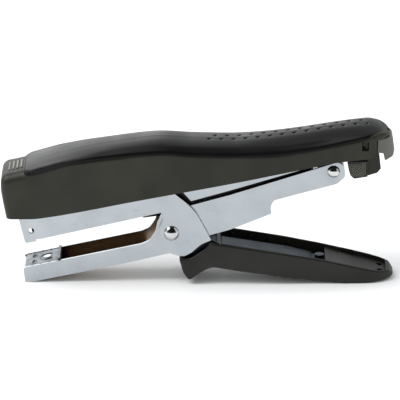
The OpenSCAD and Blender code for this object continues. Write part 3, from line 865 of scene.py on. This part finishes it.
# %% Pusher knob
CAP_HALF = 11.6
knob_outline = [
    [88.9, 76.3, 0.4], [95.9, 76.4, 1], [96.6, 75.6, 0.6], [97.6, 68.5, 1.5], [97.0, 65.6, 1],
    [92.6, 64.9, 0.8], [91.8, 69.0, 1], [88.9, 69.8, 0.5]]
# The knob's lighter olive is a painted highlight on its rounded rear.
knob = solid("pusher_cap", knob_outline, -CAP_HALF, CAP_HALF, lit_olive_abs)
cap_half = flow([(88.5, 11.5), (90.5, 10.7), (92.5, 9.3), (94.2, 7.6), (95.8, 5.6), (97.0, 3.8),
                 (97.8, 2.4)])
narrow(knob, cap_half, CAP_HALF, [
    89.8, 90.8, 91.8, 92.8, 93.7, 94.5, 95.2, 95.9, 96.5, 97.0, 97.3])
core = solid("core", [[79.5, 58.6, 1], [89.4, 60.4, 1], [89.2, 76.4, 1], [79.5, 73.8, 1]],
             -5.2, 5.2)
carve(knob, core, how="UNION")
finish_piece(knob, "pusher", ["pusher_knob"], 0.25)

# %% [markdown]
# ## Knurl
# The two latch pads are squeezed between finger and thumb. They are moulded with a diamond
# knurl so that a dry finger doesn't slip. A real knurl is about 0.8 mm apart, which is too fine
# to show, so it is 1.4 mm here. The pyramids are painted paler than the pad, a painted highlight
# on the knurl's ridges. One little pyramid is made wherever its centre lies inside the pad's
# outline. A bump map would vanish at the outline and from the side.

# %% Knurl on the latch pads
KNURL = 1.3
KNURL_STEP = KNURL * 1.1
PAD_FACE, PAD_TIP = 10.8, 11.7
PAD_LEFT, PAD_LOW = 73.5, 55.5
pad = rounded([[74.6, 63.4, 0.5], [75.2, 60, 2], [76.2, 57.9, 1], [77.6, 56.8, 1.5],
               [83.2, 57.7, 0.5], [83.2, 64.2, 0.5]])


def inside(x, z):
    """Whether a point lies inside the pad's outline."""
    hit = False
    for k, b in enumerate(pad):
        a = pad[k - 1]
        if (a.y > z) != (b.y > z) and x < (b.x - a.x) * (z - a.y) / (b.y - a.y) + a.x:
            hit = not hit
    return hit


def diamond(x, z, side, first):
    """One pyramid's points, and its faces when its first point has this number."""
    half, face = KNURL / 2, side * PAD_FACE
    points = [(x - half, face, z), (x, face, z - half), (x + half, face, z), (x, face, z + half),
              (x, side * PAD_TIP, z)]
    slopes = [(first + k, first + (k + 1) % 4, first + 4) for k in range(4)]
    return points, [*slopes, (first, first + 1, first + 2, first + 3)]


centres = [(PAD_LEFT + (column + row % 2 / 2) * KNURL_STEP, PAD_LOW + row * KNURL / 2)
           for row in range(20) for column in range(24)]
centres = [centre for centre in centres if inside(*centre)]
for body, side in (("latch_near", -1), ("latch_far", 1)):
    points, faces = [], []
    for x, z in centres:
        corners, sides = diamond(x, z, side, len(points))
        points, faces = points + corners, faces + sides
    mesh = bpy.data.meshes.new(body.replace("latch", "knurl"))
    mesh.from_pydata([Vector(p) * MM for p in points], [], faces)
    # Painted highlight: the knurl is paler than the pad.
    mesh.materials.append(knurl_highlight_abs)
    knurl = bpy.data.objects.new(mesh.name, mesh)
    scene.collection.objects.link(knurl)
    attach(knurl, body)
    print(knurl.name, "has", len(centres), "diamonds")

# %% [markdown]
# ## Wound springs
# Both springs are wound wire. CAD shows them as separate rings, which is enough for weight and
# contact. Here each is one real helix, a round section drawn along the way that a coiling
# machine feeds the wire. The long one lies between the shoe and the washer. The one in the jaw
# has two straight legs.

# %% Wound springs
def wound(name, points, wire_mm, body, replaced):
    """A wire along the points, in millimetres."""
    wire = bpy.data.curves.new(name, "CURVE")
    wire.dimensions, wire.use_fill_caps = "3D", True
    wire.bevel_depth, wire.bevel_resolution = wire_mm * MM, 3
    line = wire.splines.new("POLY")
    line.points.add(len(points) - 1)
    for spot, p in zip(line.points, points):
        spot.co = (*(Vector(p) * MM), 1)
    line.use_smooth = True
    wire.materials.append(spring_wire)
    drawn = bpy.data.objects.new("line", wire)
    scene.collection.objects.link(drawn)
    bpy.context.view_layer.update()
    seen = drawn.evaluated_get(bpy.context.evaluated_depsgraph_get())
    thing = bpy.data.objects.new(name, bpy.data.meshes.new_from_object(seen))
    bpy.data.objects.remove(drawn)
    scene.collection.objects.link(thing)
    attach(thing, body)
    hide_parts(replaced)
    print(name, "has", len(thing.data.polygons), "faces")
    return thing


COIL_START, COIL_LENGTH, COIL_R, COIL_TURNS, COIL_SIDES = 13.4, 133.2, 2.1, 24, 20
coils = []
for k in range(COIL_TURNS * COIL_SIDES + 1):
    turn = 2 * pi * k / COIL_SIDES
    coils.append(on_magazine @ Vector((
        COIL_START + COIL_LENGTH * k / (COIL_TURNS * COIL_SIDES),
        COIL_R * sin(turn), ROD_HEIGHT + COIL_R * cos(turn))))
pusher_coil = wound("pusher_coil", coils, 0.35, "pusher", "pusher_spring")
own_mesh(pusher_coil)

JAW_COIL_R, JAW_COIL_TURNS, JAW_COIL_SIDES, JAW_COIL_LENGTH, LEG = 5.6, 4, 24, 5, 14.6
turns = []
for k in range(JAW_COIL_TURNS * JAW_COIL_SIDES + 1):
    turn = 2 * pi * k / JAW_COIL_SIDES
    y = -JAW_COIL_LENGTH / 2 + JAW_COIL_LENGTH * k / (JAW_COIL_TURNS * JAW_COIL_SIDES)
    turns.append(Vector((MAIN_RIVET[0] + JAW_COIL_R * sin(turn), y,
                         MAIN_RIVET[1] + JAW_COIL_R * cos(turn))))
first_leg = turns[0] + LEG * Vector((sin(radians(74)), 0, cos(radians(74))))
last_leg = turns[-1] + LEG * Vector((-sin(radians(98)), 0, cos(radians(98))))
wound("jaw_coil", [first_leg, *turns, last_leg], 0.58, "frame", "jaw_spring")

# %% [markdown]
# ## Strip spring
# A bent strip of blued spring steel lifts the head from the magazine. It is drawn in the
# magazine's own lines and turned onto it, which keeps its numbers simple.

# %% Strip spring
STRIP_HALF, STRIP_FOOT = 4, Vector((60, 0, 13.9))
strip_outline = [[60, 13.9], [60, 14.7], [66, 14.9, 4], [96, 20.6], [97, 20], [66, 14.2, 4],
                 [66, 13.9]]
strip = solid("lift_strip", strip_outline, -STRIP_HALF, STRIP_HALF, blued_and_painted_shade)
strip.data.transform(Matrix.Scale(MM, 4) @ on_magazine @ Matrix.Scale(1 / MM, 4))
finish_piece(strip, "frame", ["head_spring"], 0)
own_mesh(strip)

# %% [markdown]
# ## The sheet parts that keep their CAD shape
# Stamped plates, pins and screws already have the right outline. What is missing is the
# rounded arris that every tumbled steel part has, and it is what catches the light. The
# vertices of a CAD part may not move, so modifiers do it: weld the triangles, dissolve the
# flat ones into whole faces, then bevel what is still sharp.

# %% Dress the CAD parts
def dress(name, finish, arris_mm):
    """Finish and a rounded arris for a part that keeps its CAD shape."""
    part = nodes[name]
    mesh = part.data
    if "custom_normal" in mesh.attributes:
        mesh.attributes.remove(mesh.attributes["custom_normal"])
    mesh.materials.clear()
    mesh.materials.append(finish)
    mesh.shade_smooth()
    part.modifiers.new("weld", "WELD").merge_threshold = 0.002 * MM
    flats = part.modifiers.new("flats", "DECIMATE")
    flats.decimate_type, flats.angle_limit = "DISSOLVE", radians(1)
    round_arris(part, arris_mm, radians(40))
    part.modifiers.new("shade", "WEIGHTED_NORMAL").keep_sharp = True


PLATE_ARRIS, SMALL_ARRIS = 0.28, 0.15
kept = {
    nickel: ["side_plates", "link_plates", "channel_rivets", "anvil_rivets", "driver_rivets",
             "pusher_rod"],
    rivet_nickel: ["main_rivet", "rear_rivets", "lever_pin"],
    # The staple channel and rail are painted dark: painted shade in the gap below the head frame.
    blued_and_painted_shade: ["staple_channel", "staple_rail", "driver_blade", "rod_washer", "cover_screws"],
    zinc: ["lever_screw", "pusher_shoe"],
    bronze: ["main_bush"],
    cover_abs: ["latch_near", "latch_far"],
    # Painted highlight: the nose ribs take the lighter olive of the knob.
    lit_olive_abs: ["nose_ribs"],
}
for finish, names in kept.items():
    for name in names:
        dress(name, finish, PLATE_ARRIS if name.endswith("_plates") else SMALL_ARRIS)
print("CAD parts dressed:", sum(len(names) for names in kept.values()))
